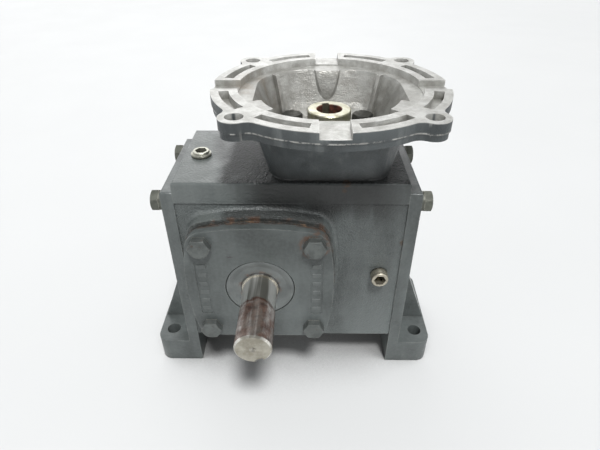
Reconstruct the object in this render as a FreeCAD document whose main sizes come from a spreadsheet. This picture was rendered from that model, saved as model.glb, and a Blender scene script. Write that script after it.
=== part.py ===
import FreeCAD, Part
import math
import os
import re
import Sketcher

# Worm gearbox with a hollow input quill, a motor flange and two foot brackets.
# Millimetres. +Z is up, the output shaft points to -Y, and the origin lies on the
# ground at the centre of the four foot holes.

SIZES = [
    # Housing
    ("housing_half_width", 73.65),
    ("housing_half_depth", 39.3),
    ("band_half_depth", 40.3),
    ("band_bottom", 149.0),
    ("housing_bottom", 30.0),
    ("housing_top", 163.4),
    ("wall", 7.65),
    ("cavity_half_depth", 32.0),
    ("cavity_bottom", 50.0),
    ("cavity_top", 134.0),
    ("top_cavity_half_depth", 26.0),
    ("top_cavity_top", 156.0),
    ("pad_half_width", 37.0),
    ("pad_height", 1.4),
    # Axes
    ("centre_distance", 44.45),
    ("worm_x", 24.0),
    ("gear_z", 95.0),
    # Covers on the gear axis
    ("boss_half", 49.5),
    ("boss_base_face", 49.8),
    ("boss_root_radius", 3.0),
    ("front_boss_face", 53.0),
    ("rear_boss_face", 45.0),
    ("cover_half", 48.3),
    ("cover_bulge", 190.0),
    ("cover_flat", 44.6),
    ("cover_thickness", 6.0),
    ("rear_cover_thickness", 6.0),
    ("cover_gasket", 0.4),
    ("cover_bolt_offset", 35.5),
    ("opening_radius", 38.0),
    ("spigot_radius", 37.9),
    # Output shaft and gear
    ("output_diameter", 22.225),
    ("seal_journal", 24.0),
    ("output_end", 110.0),
    ("output_key_width", 4.76),
    ("output_key_depth", 2.6),
    ("output_key_length", 44.0),
    ("gear_seat", 28.0),
    ("gear_width", 16.0),
    ("hub_width", 24.0),
    ("hub_diameter", 46.0),
    ("gear_key_width", 8.0),
    ("gear_key_height", 7.0),
    # Worm
    ("module", 1.6667),
    ("gear_teeth", 40.0),
    ("worm_starts", 2.0),
    ("worm_length", 46.0),
    ("quill_diameter", 28.0),
    ("quill_bore", 15.875),
    ("quill_top", 195.3),
    ("quill_bore_depth", 46.0),
    ("quill_key_width", 4.76),
    ("quill_key_reach", 10.2),
    # Bearings: bore, outside diameter and width
    ("upper_bore", 28.0),
    ("upper_outside", 52.0),
    ("upper_width", 12.0),
    ("upper_bottom", 139.0),
    ("lower_bore", 20.0),
    ("lower_outside", 47.0),
    ("lower_width", 14.0),
    ("lower_bottom", 34.0),
    ("output_bore", 25.0),
    ("output_outside", 52.0),
    ("output_width", 15.0),
    # Seals
    ("output_seal_outside", 45.2),
    ("output_seal_width", 5.0),
    ("input_seal_outside", 41.3),
    ("input_seal_width", 8.0),
    # Motor flange
    ("flange_base", 165.4),
    ("flange_floor", 177.6),
    ("ring_bottom", 200.4),
    ("ring_parting", 204.5),
    ("ledge", 207.0),
    ("pilot_step", 0.8),
    ("rim_top", 210.9),
    ("ring_radius", 73.5),
    ("pilot_radius", 57.15),
    ("ear_circle", 149.225),
    ("ear_radius", 9.0),
    ("ear_hole", 5.2),
    ("ear_scallop", 7.0),
    ("parting_step", 0.7),
    ("notch_width", 16.4),
    ("base_half_width", 38.0),
    ("flange_bolt_offset", 24.5),
    # Foot brackets
    ("bracket_thickness", 8.0),
    ("bracket_top", 156.5),
    ("foot_reach", 107.0),
    ("foot_height", 21.0),
    ("foot_corner", 9.0),
    ("foot_hole", 5.2),
    ("foot_hole_x", 96.8),
    ("foot_hole_y", 27.0),
    ("gusset_width", 24.0),
    ("gusset_top", 86.0),
    ("bracket_bolt_y", 33.0),
    ("bracket_bolt_z", 147.0),
    # Fasteners (5/16 inch) and plugs
    ("bolt_shank", 3.9),
    ("bolt_hole", 4.0),
    ("bolt_clear_hole", 4.3),
    ("bolt_flats", 12.7),
    ("head_height", 5.2),
    ("washer_height", 2.0),
    ("cap_screw_shank", 2.4),
    ("cap_screw_hole", 2.5),
    ("cap_screw_circle", 27.4),
    ("plug_shank", 5.1),
    ("plug_hole", 5.2),
    ("plug_socket", 7.2),
    ("fill_plug_x", -61.3),
    ("fill_plug_y", -2.0),
    ("level_plug_x", 60.3),
    ("level_plug_z", 90.8),
    ("drain_plug_x", 46.0),
    ("drain_plug_z", 58.0),
]
SIZE = dict(SIZES)
NODES = {}

doc = FreeCAD.newDocument("worm_gearbox")
sheet = doc.addObject("Spreadsheet::Sheet", "Sizes")
for row, (alias, number) in enumerate(SIZES, start=1):
    sheet.set("A%d" % row, alias)
    sheet.set("B%d" % row, str(number))
    sheet.setAlias("B%d" % row, alias)
doc.recompute()

FACING = {
    "+Z": FreeCAD.Rotation(),
    "-Z": FreeCAD.Rotation(FreeCAD.Vector(1, 0, 0), 180),
    "-Y": FreeCAD.Rotation(FreeCAD.Vector(1, 0, 0), 90),
    "+Y": FreeCAD.Rotation(FreeCAD.Vector(1, 0, 0), -90),
    "+X": FreeCAD.Rotation(FreeCAD.Vector(0, 1, 0), 90),
    "-X": FreeCAD.Rotation(FreeCAD.Vector(0, 1, 0), -90),
}


# ---------------------------------------------------------------- building blocks

def formula(text):
    """Points every size named in a formula at its cell of the sheet."""
    return re.sub(r"[a-z_]+", lambda word: "Sizes." + word[0] if word[0] in SIZE else word[0], str(text))


def bind(item, **formulas):
    for name, text in formulas.items():
        item.setExpression(name, formula(text))
    return item


def place(item, at=(0, 0, 0), facing="+Z"):
    """Puts a piece's own origin at a point, with its own Z turned to a direction."""
    item.Placement.Rotation = FACING[facing]
    for axis, text in zip("xyz", at):
        item.setExpression(".Placement.Base." + axis, formula(text))
    return item


def rod(radius, length, at=(0, 0, 0), facing="+Z"):
    item = doc.addObject("Part::Cylinder", "Rod")
    return place(bind(item, Radius=radius, Height=length), at, facing)


def cone(low_radius, high_radius, length, at=(0, 0, 0), facing="+Z"):
    item = doc.addObject("Part::Cone", "Cone")
    return place(bind(item, Radius1=low_radius, Radius2=high_radius, Height=length), at, facing)


def block(low, high):
    """A box between two corners, each a triple of formulas."""
    item = doc.addObject("Part::Box", "Block")
    for name, start, end in zip(("Length", "Width", "Height"), low, high):
        item.setExpression(name, formula("(%s) - (%s)" % (end, start)))
    return place(item, low)


def hexagon(across_flats, height, at=(0, 0, 0), facing="+Z"):
    item = doc.addObject("Part::Prism", "Hexagon")
    item.Polygon = 6
    return place(bind(item, Circumradius="(%s) / sqrt(3)" % across_flats, Height=height), at, facing)


def hoop(ring_radius, wire_radius, at=(0, 0, 0), facing="+Z"):
    item = doc.addObject("Part::Torus", "Hoop")
    return place(bind(item, Radius1=ring_radius, Radius2=wire_radius), at, facing)


def ball(radius, at):
    item = doc.addObject("Part::Sphere", "Ball")
    return place(bind(item, Radius=radius), at)


def fuse(*pieces):
    item = doc.addObject("Part::MultiFuse", "Fusion")
    item.Shapes = list(pieces)
    item.Refine = True
    return item


def common(*pieces):
    item = doc.addObject("Part::MultiCommon", "Common")
    item.Shapes = list(pieces)
    return item


def cut(base, *tools):
    item = doc.addObject("Part::Cut", "Cut")
    item.Base = base
    item.Tool = tools[0] if len(tools) == 1 else fuse(*tools)
    item.Refine = True
    return item


def group(*pieces):
    item = doc.addObject("Part::Compound", "Group")
    item.Links = list(pieces)
    return item


def tube(outer_radius, inner_radius, length, at=(0, 0, 0), facing="+Z"):
    return cut(rod(outer_radius, length, at, facing), rod(inner_radius, length, at, facing))


def round_edges(base, radius, wanted):
    """Rounds the edges that a test picks out."""
    doc.recompute()
    item = doc.addObject("Part::Fillet", "Rounded")
    item.Base = base
    item.Edges = [(index, radius, radius) for index, edge in enumerate(base.Shape.Edges, start=1) if wanted(edge)]
    return item


def along(axis):
    """A test for straight edges that run along one axis."""
    def wanted(edge):
        if edge.Curve.TypeId != "Part::GeomLine":
            return False
        direction = edge.tangentAt(edge.FirstParameter)
        return abs(abs(getattr(direction, axis)) - 1) < 1e-6
    return wanted


def node(name, item):
    item.Label = name
    NODES[name] = item
    return item


def origin_plane(body, role):
    for feature in body.Origin.OriginFeatures:
        if feature.Role == role:
            return feature
    raise ValueError(role)


def turned(outline, at=(0, 0, 0), facing="+Z"):
    """A lathe-turned piece: an outline of (radius, height) formulas turned about its own Z."""
    body = doc.addObject("PartDesign::Body", "Turned")
    sketch = body.newObject("Sketcher::SketchObject", "Outline")
    sketch.AttachmentSupport = [(origin_plane(body, "XZ_Plane"), "")]
    sketch.MapMode = "FlatFace"
    count = len(outline)
    for index in range(count):
        start = FreeCAD.Vector(index + 1, index, 0)
        end = FreeCAD.Vector((index + 1) % count + 1, (index + 1) % count, 0)
        sketch.addGeometry(Part.LineSegment(start, end))
    for index, (radius, height) in enumerate(outline):
        sketch.addConstraint(Sketcher.Constraint("Coincident", index - 1 if index else count - 1, 2, index, 1))
        for kind, text, axis_line in (("DistanceX", radius, -2), ("DistanceY", height, -1)):
            if str(text) == "0":
                sketch.addConstraint(Sketcher.Constraint("PointOnObject", index, 1, axis_line))
            else:
                number = sketch.addConstraint(Sketcher.Constraint(kind, -1, 1, index, 1, 1.0))
                sketch.setExpression("Constraints[%d]" % number, formula(text))
    turn = body.newObject("PartDesign::Revolution", "Turn")
    turn.Profile = sketch
    turn.ReferenceAxis = (sketch, ["V_Axis"])
    turn.Angle = 360
    return place(body, at, facing)


def rounded_square(body, half_width, corner, height):
    """A sketch of a square with round corners, centred on the body's Z axis."""
    sketch = body.newObject("Sketcher::SketchObject", "Section")
    sketch.AttachmentSupport = [(origin_plane(body, "XY_Plane"), "")]
    sketch.MapMode = "FlatFace"
    sketch.setExpression("AttachmentOffset.Base.z", formula(height))
    reach = 40.0
    bend = 20.0
    flat = reach - bend
    up = FreeCAD.Vector(0, 0, 1)
    for quarter in range(4):
        turn = FreeCAD.Rotation(up, 90 * quarter)
        start = turn.multVec(FreeCAD.Vector(reach, -flat, 0))
        end = turn.multVec(FreeCAD.Vector(reach, flat, 0))
        centre = turn.multVec(FreeCAD.Vector(flat, flat, 0))
        sketch.addGeometry(Part.LineSegment(start, end))
        angle = math.radians(90 * quarter)
        sketch.addGeometry(Part.ArcOfCircle(Part.Circle(centre, up, bend), angle, angle + math.pi / 2))
    for quarter in range(4):
        line = 2 * quarter
        arc = line + 1
        sketch.addConstraint(Sketcher.Constraint("Tangent", line, 2, arc, 1))
        sketch.addConstraint(Sketcher.Constraint("Tangent", arc, 2, (line + 2) % 8, 1))
        sketch.addConstraint(Sketcher.Constraint("Horizontal" if quarter % 2 else "Vertical", line))
        if quarter:
            sketch.addConstraint(Sketcher.Constraint("Equal", 1, arc))
    for quarter, kind, sign in ((0, "DistanceX", ""), (1, "DistanceY", ""), (2, "DistanceX", "-"), (3, "DistanceY", "-")):
        value = -reach if sign else reach
        number = sketch.addConstraint(Sketcher.Constraint(kind, -1, 1, 2 * quarter, 1, value))
        sketch.setExpression("Constraints[%d]" % number, formula("%s(%s)" % (sign, half_width)))
    number = sketch.addConstraint(Sketcher.Constraint("Radius", 1, bend))
    sketch.setExpression("Constraints[%d]" % number, formula(corner))
    return sketch


def lofted(sections, at):
    """A solid through a stack of (half width, corner radius, height) rounded squares."""
    body = doc.addObject("PartDesign::Body", "Lofted")
    sketches = [rounded_square(body, *section) for section in sections]
    loft = body.newObject("PartDesign::AdditiveLoft", "Loft")
    loft.Profile = sketches[0]
    loft.Sections = sketches[1:]
    loft.Ruled = True
    return place(body, at)


def square_plate(half_width, corner, thickness, at):
    body = doc.addObject("PartDesign::Body", "Plate")
    pad = body.newObject("PartDesign::Pad", "Pad")
    pad.Profile = rounded_square(body, half_width, corner, "0")
    pad.setExpression("Length", formula(thickness))
    return place(body, at)


# ---------------------------------------------------------------- shared pieces

def hex_bolt(at, facing, length, shank="bolt_shank"):
    """A hexagon-head bolt whose seat is at a point and whose head stands out in a direction."""
    rising = {"+Z": (0, 0, 1), "-Z": (0, 0, -1), "-Y": (0, -1, 0), "+Y": (0, 1, 0), "+X": (1, 0, 0), "-X": (-1, 0, 0)}
    step = rising[facing]
    foot = [("(%s) - (%d) * (%s)" % (place_on, sign, length)) for place_on, sign in zip(at, step)]
    crown = cone("bolt_flats * 0.475 + head_height * sqrt(3)", "bolt_flats * 0.475", "head_height", at, facing)
    head = common(hexagon("bolt_flats", "head_height", at, facing), crown)
    return fuse(head, rod(shank, "%s + 0.5" % length, foot, facing))


def socket_plug(at, facing, depth, base, top, stand):
    """A pipe plug with a hexagon socket, seated at a point; its head steps in from base to top radius."""
    rising = {"+Z": (0, 0, 1), "-Y": (0, -1, 0), "+Y": (0, 1, 0)}
    step = rising[facing]
    foot = ["(%s) - (%d) * (%s)" % (place_on, sign, depth) for place_on, sign in zip(at, step)]
    socket = ["(%s) - (%d) * 2.5" % (place_on, sign) for place_on, sign in zip(at, step)]
    body = turned([("0", "0"), (base, "0"), (base, stand + " * 0.5"), (top, stand + " * 0.65"),
                   (top, stand + " - 0.4"), (top + " - 0.4", stand), ("0", stand)], at, facing)
    return cut(fuse(body, rod("plug_shank", "%s + 0.5" % depth, foot, facing)),
               hexagon("plug_socket", "12", socket, facing))


def ball_bearing(name, size, at, facing, balls):
    """Four nodes of a deep-groove ball bearing whose lower side face is at a point."""
    bore = size + "_bore / 2"
    outside = size + "_outside / 2"
    width = size + "_width"
    pitch = "(%s + %s) / 2" % (bore, outside)
    ball_radius = "(%s - %s) * 0.3" % (outside, bore)
    middle = ("0", "0", width + " / 2")
    race = hoop(pitch, ball_radius + " + 0.08", middle)
    outer_ring = cut(tube(outside, "%s + %s * 0.62" % (pitch, ball_radius), width), race)
    race = hoop(pitch, ball_radius + " + 0.08", middle)
    inner_ring = cut(tube("%s - %s * 0.62" % (pitch, ball_radius), bore, width), race)
    cage_bottom = ("0", "0", "%s / 2 - %s - 1.3" % (width, ball_radius))
    cage = tube(pitch + " + 1", pitch + " - 1", "2 * (%s + 1.3)" % ball_radius, cage_bottom)
    spheres = []
    pockets = []
    for index in range(balls):
        angle = "%.6f * 1deg" % (360.0 * index / balls)
        centre = ("%s * cos(%s)" % (pitch, angle), "%s * sin(%s)" % (pitch, angle), width + " / 2")
        spheres.append(ball(ball_radius, centre))
        inside = ("(%s - 4) * cos(%s)" % (pitch, angle), "(%s - 4) * sin(%s)" % (pitch, angle), width + " / 2")
        pocket = rod(ball_radius + " + 0.12", "8", inside)
        outward = FreeCAD.Rotation(FreeCAD.Vector(0, 0, 1), 360.0 * index / balls).multiply(FACING["+X"])
        pocket.Placement.Rotation = outward
        pockets.append(pocket)
    pieces = {"outer_ring": outer_ring, "inner_ring": inner_ring, "balls": group(*spheres),
              "cage": cut(cage, *pockets)}
    for part_name, piece in pieces.items():
        node(name + "_" + part_name, place(piece, at, facing))


def bulged_plate(half, thickness, face, flat):
    """A plate on the gear axis with four gently arched sides, round corners and a flat bottom.

    face is the Y of its lower side, and the plate grows towards +Y."""
    sides = []
    for across, up in ((1, 0), (-1, 0), (0, 1), (0, -1)):
        centre = (GEAR_X + " - (%d) * (cover_bulge - (%s))" % (across, half), face,
                  "gear_z - (%d) * (cover_bulge - (%s))" % (up, half))
        sides.append(rod("cover_bulge", thickness, centre, "+Y"))
    rounded = round_edges(common(*sides), 13.0, along("y"))
    below = block((GEAR_X + " - 60", "(%s) - 1" % face, "gear_z - 60"),
                  (GEAR_X + " + 60", "(%s) + (%s) + 1" % (face, thickness), "gear_z - (%s)" % flat))
    return cut(rounded, below)


GEAR_X = "(worm_x - centre_distance)"
COVER_BOLTS = [(across, up) for across in (-1, 1) for up in (-1, 1)]


def cover_bolt_places(face):
    return [(GEAR_X + " + (%d) * cover_bolt_offset" % across, face, "gear_z + (%d) * cover_bolt_offset" % up)
            for across, up in COVER_BOLTS]


# ---------------------------------------------------------------- housing and covers

def at_boss_root(edge):
    """A test for the edges where the front boss meets the face of the housing."""
    middle = edge.CenterOfMass
    reach = SIZE["boss_half"] + 1
    return (abs(middle.y + SIZE["housing_half_depth"]) < 0.01
            and abs(middle.x - SIZE["worm_x"] + SIZE["centre_distance"]) < reach
            and abs(middle.z - SIZE["gear_z"]) < reach)


def make_housing():
    box = block(("-housing_half_width", "-housing_half_depth", "housing_bottom"),
                ("housing_half_width", "housing_half_depth", "housing_top"))
    band = block(("-housing_half_width", "-band_half_depth", "band_bottom"),
                 ("housing_half_width", "band_half_depth", "housing_top"))
    band = round_edges(band, 1.6, lambda edge: edge.CenterOfMass.z > SIZE["housing_top"] - 0.01)
    box = round_edges(box, 1.5, lambda edge: edge.CenterOfMass.z > SIZE["housing_top"] - 0.01)
    boss_base = bulged_plate("boss_half", "boss_base_face - 30", "-boss_base_face", "boss_half + 5")
    boss_land = bulged_plate("cover_half - 0.7", "front_boss_face - 30", "-front_boss_face", "cover_flat")
    rear_boss = bulged_plate("boss_half", "rear_boss_face - 30", "30", "cover_flat + 2")
    pad = square_plate("pad_half_width", "13", "pad_height + 2", ("worm_x", "0", "housing_top - 2"))
    # The boss is rounded into the face all the way round before its lower edge is cut flat.
    below_boss = block((GEAR_X + " - 60", "-front_boss_face - 1", "gear_z - 60"),
                       (GEAR_X + " + 60", "-housing_half_depth", "gear_z - cover_flat - 2"))
    front = cut(round_edges(fuse(box, boss_base), SIZE["boss_root_radius"], at_boss_root), below_boss)
    solid = fuse(front, boss_land, band, rear_boss, pad)
    hollows = [
        block(("wall - housing_half_width", "-cavity_half_depth", "cavity_bottom"),
              ("housing_half_width - wall", "cavity_half_depth", "cavity_top")),
        block(("wall - housing_half_width", "-top_cavity_half_depth", "cavity_bottom"),
              ("worm_x - upper_outside / 2 - 8", "top_cavity_half_depth", "top_cavity_top")),
        rod("opening_radius", "front_boss_face + rear_boss_face + 2",
            (GEAR_X, "-front_boss_face - 1", "gear_z"), "+Y"),
        rod("upper_outside / 2", "housing_top + 3 - upper_bottom", ("worm_x", "0", "upper_bottom")),
        rod("20", "20", ("worm_x", "0", "upper_bottom - 10")),
        rod("lower_outside / 2", "lower_bottom + lower_width - 28", ("worm_x", "0", "28")),
        rod("18", "20", ("worm_x", "0", "lower_bottom + lower_width - 10")),
        rod("plug_hole", "30", ("fill_plug_x", "fill_plug_y", "housing_top - 20")),
        rod("plug_hole", "20", ("level_plug_x", "-cavity_half_depth + 10", "level_plug_z"), "-Y"),
        rod("plug_hole", "20", ("drain_plug_x", "cavity_half_depth - 10", "drain_plug_z"), "+Y"),
    ]
    for x, y in flange_bolt_places():
        hollows.append(rod("bolt_hole", "22", (x, y, "housing_top - 18")))
    for x, y, z in cover_bolt_places("0"):
        hollows.append(rod("bolt_hole", "17", (x, "-front_boss_face + 16", z), "-Y"))
        hollows.append(rod("bolt_hole", "17", (x, "rear_boss_face - 16", z), "+Y"))
    for side, facing in (("-1", "-X"), ("1", "+X")):
        for y, z in bracket_bolt_places():
            hollows.append(rod("bolt_hole", "16", ("%s * (housing_half_width - 15)" % side, y, z), facing))
    for x, y in cap_screw_places():
        hollows.append(rod("cap_screw_hole", "12", (x, y, "housing_bottom - 1")))
    node("housing", cut(solid, *hollows))


def make_cover(prefix, face, outward, thickness, open_for_shaft):
    """A bearing cover: an arched plate with a spigot that carries the bearing."""
    gasket = "cover_gasket"
    if outward < 0:
        plate_low = "-(%s) - %s - %s" % (face, gasket, thickness)
        gasket_low = "-(%s) - %s" % (face, gasket)
        spigot = ("-(%s) - %s" % (face, gasket), "+Y")
        bolt_face, bolt_facing = plate_low, "-Y"
    else:
        plate_low = "%s + %s" % (face, gasket)
        gasket_low = face
        spigot = ("%s + %s" % (face, gasket), "-Y")
        bolt_face, bolt_facing = "%s + %s + %s" % (face, gasket, thickness), "+Y"
    plate = bulged_plate("cover_half", thickness, plate_low, "cover_flat")
    centre = (GEAR_X, spigot[0], "gear_z")
    collar = rod("spigot_radius", "output_width - 0.2", centre, spigot[1])
    seat = rod("output_outside / 2", "output_width", centre, spigot[1])
    cutters = [seat]
    if open_for_shaft:
        cutters.append(rod("output_seal_outside / 2 + 0.35", "1.2", (GEAR_X, plate_low, "gear_z"), "+Y"))
        cutters.append(rod("output_seal_outside / 2", "output_seal_width", (GEAR_X, plate_low, "gear_z"), "+Y"))
        cutters.append(rod("14", "20", (GEAR_X, plate_low, "gear_z"), "+Y"))
    for x, y, z in cover_bolt_places(plate_low):
        cutters.append(rod("bolt_clear_hole", "%s + 2" % thickness, (x, "(%s) - 1" % y, z), "+Y"))
    if open_for_shaft:
        for across in (-1, 1):
            x = GEAR_X + " + (%d) * 37" % across
            panel = block((x + " - 4.2", "(%s) - 1" % plate_low, "gear_z - 23"),
                          (x + " + 4.2", "(%s) + 0.5" % plate_low, "gear_z + 23"))
            cutters.append(round_edges(panel, 2.0, along("y")))
    node(prefix + "_cover", cut(fuse(plate, collar), *cutters))
    sheet_piece = bulged_plate("cover_half - 0.6", gasket, gasket_low, "cover_flat - 0.6")
    holes = [rod("opening_radius + 0.4", "2", (GEAR_X, "(%s) - 0.5" % gasket_low, "gear_z"), "+Y")]
    for x, y, z in cover_bolt_places(gasket_low):
        holes.append(rod("bolt_clear_hole", "2", (x, "(%s) - 0.5" % y, z), "+Y"))
    node(prefix + "_cover_gasket", cut(sheet_piece, *holes))
    bolts = [hex_bolt(at, bolt_facing, "%s + %s + 11" % (thickness, gasket)) for at in cover_bolt_places(bolt_face)]
    node(prefix + "_cover_bolts", group(*bolts))


def make_output_seal():
    face = "-front_boss_face - cover_gasket - cover_thickness"
    rim = "output_seal_outside / 2"
    lip = "seal_journal / 2 + 0.06"
    outline = [
        (lip, "1.2"), (lip, "2.4"), (lip + " + 2.4", "3.8"), (lip + " + 2.4", "output_seal_width"),
        (rim, "output_seal_width"), (rim, "0.9"), (rim + " - 0.5", "0.3"), (rim + " - 2", "0.3"),
        (rim + " - 5", "1.2"),
    ]
    node("output_seal", turned(outline, (GEAR_X, face, "gear_z"), "+Y"))


def cap_screw_places():
    return [("worm_x + (%d) * cap_screw_circle / sqrt(2)" % across, "(%d) * cap_screw_circle / sqrt(2)" % along_y)
            for across in (-1, 1) for along_y in (-1, 1)]


def make_worm_end_cap():
    cap = turned([("0", "0"), ("30", "0"), ("31", "1"), ("31", "5.6"), ("lower_outside / 2 - 0.1", "5.6"),
                  ("lower_outside / 2 - 0.1", "lower_bottom - housing_bottom + 6"),
                  ("lower_outside / 2 - 4", "lower_bottom - housing_bottom + 6"),
                  ("lower_outside / 2 - 4", "4"), ("0", "4")],
                 ("worm_x", "0", "housing_bottom - 6"))
    holes = [rod("2.7", "10", (x, y, "housing_bottom - 8")) for x, y in cap_screw_places()]
    node("worm_end_cap", cut(cap, *holes))
    ring = tube("31", "lower_outside / 2", "0.4", ("worm_x", "0", "housing_bottom - 0.4"))
    holes = [rod("2.7", "3", (x, y, "housing_bottom - 1.5")) for x, y in cap_screw_places()]
    node("worm_end_cap_gasket", cut(ring, *holes))
    screws = []
    for x, y in cap_screw_places():
        seat = "housing_bottom - 6"
        head = cut(rod("3.4", "2.4", (x, y, seat), "-Z"), hexagon("3", "3", (x, y, seat + " - 1"), "-Z"))
        screws.append(fuse(head, rod("cap_screw_shank", "15", (x, y, seat + " - 0.5"))))
    node("worm_end_cap_screws", group(*screws))


def make_plugs():
    node("fill_plug", socket_plug(("fill_plug_x", "fill_plug_y", "housing_top"), "+Z", "7", "6.8", "5.6", "3.6"))
    node("level_plug", socket_plug(("level_plug_x", "-housing_half_depth", "level_plug_z"), "-Y", "7",
                                   "6", "5.7", "6.8"))
    node("drain_plug", socket_plug(("drain_plug_x", "housing_half_depth", "drain_plug_z"), "+Y", "7",
                                   "6", "5.7", "6.8"))


# ---------------------------------------------------------------- motor flange

def flange_bolt_places():
    return [("worm_x + (%d) * flange_bolt_offset" % across, "(%d) * flange_bolt_offset" % along_y)
            for across in (-1, 1) for along_y in (-1, 1)]


def polar(radius, degrees):
    """A point about the worm axis."""
    return ("worm_x + (%s) * cos(%g * 1deg)" % (radius, degrees), "(%s) * sin(%g * 1deg)" % (radius, degrees))


def arc_pocket(start, sweep):
    """A curved trough between two radii, sunk into the rim."""
    item = rod("68.5", "8", ("worm_x", "0", "rim_top - 5"))
    item.Angle = sweep
    item.Placement.Rotation = FreeCAD.Rotation(FreeCAD.Vector(0, 0, 1), start)
    return cut(item, rod("62.5", "8", ("worm_x", "0", "rim_top - 5")))


def spoke(width, inner, outer, low, high, degrees):
    """A radial bar about the worm axis."""
    item = doc.addObject("Part::Box", "Spoke")
    bind(item, Length="(%s) - (%s)" % (outer, inner), Width=width, Height="(%s) - (%s)" % (high, low))
    cosine = "cos(%g * 1deg)" % degrees
    sine = "sin(%g * 1deg)" % degrees
    x = "worm_x + (%s) * %s + (%s) / 2 * %s" % (inner, cosine, width, sine)
    y = "(%s) * %s - (%s) / 2 * %s" % (inner, sine, width, cosine)
    place(item, (x, y, low))
    item.Placement.Rotation = FreeCAD.Rotation(FreeCAD.Vector(0, 0, 1), degrees)
    return item


def ear_and_neck(degrees, low, high, inset):
    """One bolt ear with a neck whose flanks sweep into the ring and the ear."""
    scallops = [rod("ear_scallop + (%s)" % inset, "(%s) - (%s) + 2" % (high, low),
                    polar("ring_radius + ear_scallop", degrees + sign * 11.01) + ("(%s) - 1" % low,))
                for sign in (-1, 1)]
    neck = cut(spoke("28", "60", "77", low, high, degrees), *scallops)
    ear = rod("ear_radius - (%s)" % inset, "(%s) - (%s)" % (high, low), polar("ear_circle / 2", degrees) + (low,))
    return fuse(neck, ear)


def make_motor_flange():
    axis = ("worm_x", "0", "0")
    solids = [
        lofted([("base_half_width", "14", "flange_base"), ("45.2", "33", "183"),
                ("54", "53.4", "ring_bottom + 1")], axis),
        rod("ring_radius", "rim_top - ring_parting", ("worm_x", "0", "ring_parting")),
        rod("ring_radius - parting_step", "ring_parting - ring_bottom", ("worm_x", "0", "ring_bottom")),
    ]
    for degrees in (45, 135, 225, 315):
        solids.append(ear_and_neck(degrees, "ring_parting", "rim_top", "0"))
        solids.append(ear_and_neck(degrees, "ring_bottom", "ring_parting", "parting_step"))
    hollow = lofted([("33.4", "6", "flange_floor"), ("38", "16", "186"), ("45.6", "30", "203.5"),
                     ("47.2", "34", "ledge + 0.01")], axis)
    envelope = lofted([("base_half_width - 1", "13", "flange_base"), ("44", "32", "183"),
                       ("53", "52.4", "ledge")], axis)
    bosses = cut(fuse(*[rod("9", "ledge - flange_floor + 4", polar("47.5", degrees) + ("flange_floor - 4",))
                        for degrees in (90, 210, 330)]),
                 cone("34", "44.5", "ledge - flange_floor", ("worm_x", "0", "flange_floor")))
    ribs = cut(fuse(*[spoke("2.8", "38", "60", "flange_floor - 2", "ledge - 1", degrees)
                      for degrees in (45, 135, 225, 315)]),
               cone("41.8", "49", "ledge - flange_floor", ("worm_x", "0", "flange_floor")))
    back_rib = spoke("2.8", "34", "46", "flange_floor - 2", "ledge - 20.5", 90)
    collar = rod("upper_outside / 2 - 0.1", "flange_base - upper_bottom - upper_width",
                 ("worm_x", "0", "upper_bottom + upper_width"))
    cutters = [
        rod("pilot_radius", "10", ("worm_x", "0", "ledge - pilot_step")),
        rod("quill_diameter / 2 + 1.2", "40", ("worm_x", "0", "upper_bottom")),
        rod("input_seal_outside / 2", "input_seal_width + 1", ("worm_x", "0", "flange_floor - input_seal_width")),
    ]
    for degrees in (0, 90, 180, 270):
        cutters.append(spoke("notch_width", "40", "90", "ledge", "rim_top + 5", degrees))
        cutters.append(arc_pocket(degrees + 11, 27))
        cutters.append(arc_pocket(degrees + 52, 27))
    for degrees in (45, 135, 225, 315):
        cutters.append(rod("ear_hole", "20", polar("ear_circle / 2", degrees) + ("ring_bottom - 4",)))
    for x, y in flange_bolt_places():
        cutters.append(rod("bolt_clear_hole", "30", (x, y, "flange_base - 5")))
        cutters.append(rod("7.6", "12", (x, y, "flange_floor")))
    bell = cut(fuse(*solids), hollow)
    inner_solids = common(fuse(bosses, ribs, back_rib), envelope)
    node("motor_flange", cut(fuse(bell, inner_solids, collar), *cutters))
    gasket = square_plate("pad_half_width - 0.3", "13", "flange_base - housing_top - pad_height",
                          ("worm_x", "0", "housing_top + pad_height"))
    holes = [rod("upper_outside / 2 + 0.3", "5", ("worm_x", "0", "housing_top"))]
    holes += [rod("bolt_clear_hole", "5", (x, y, "housing_top")) for x, y in flange_bolt_places()]
    node("flange_gasket", cut(gasket, *holes))
    bolts = [hex_bolt((x, y, "flange_floor"), "+Z", "flange_floor - housing_top + 12") for x, y in flange_bolt_places()]
    node("flange_bolts", group(*bolts))


def make_input_seal():
    rim = "input_seal_outside / 2"
    lip = "quill_diameter / 2 + 0.06"
    outline = [(lip, "4"), (lip, "5.5"), (lip + " + 2", "7"), (rim, "7"), (rim, "0"), (lip + " + 2.2", "0"),
               (lip + " + 2.2", "4")]
    node("input_seal", turned(outline, ("worm_x", "0", "flange_floor - input_seal_width")))


# ---------------------------------------------------------------- foot brackets

def bracket_bolt_places():
    return [("(%d) * bracket_bolt_y" % along_y, "bracket_bolt_z") for along_y in (-1, 1)]


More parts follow.
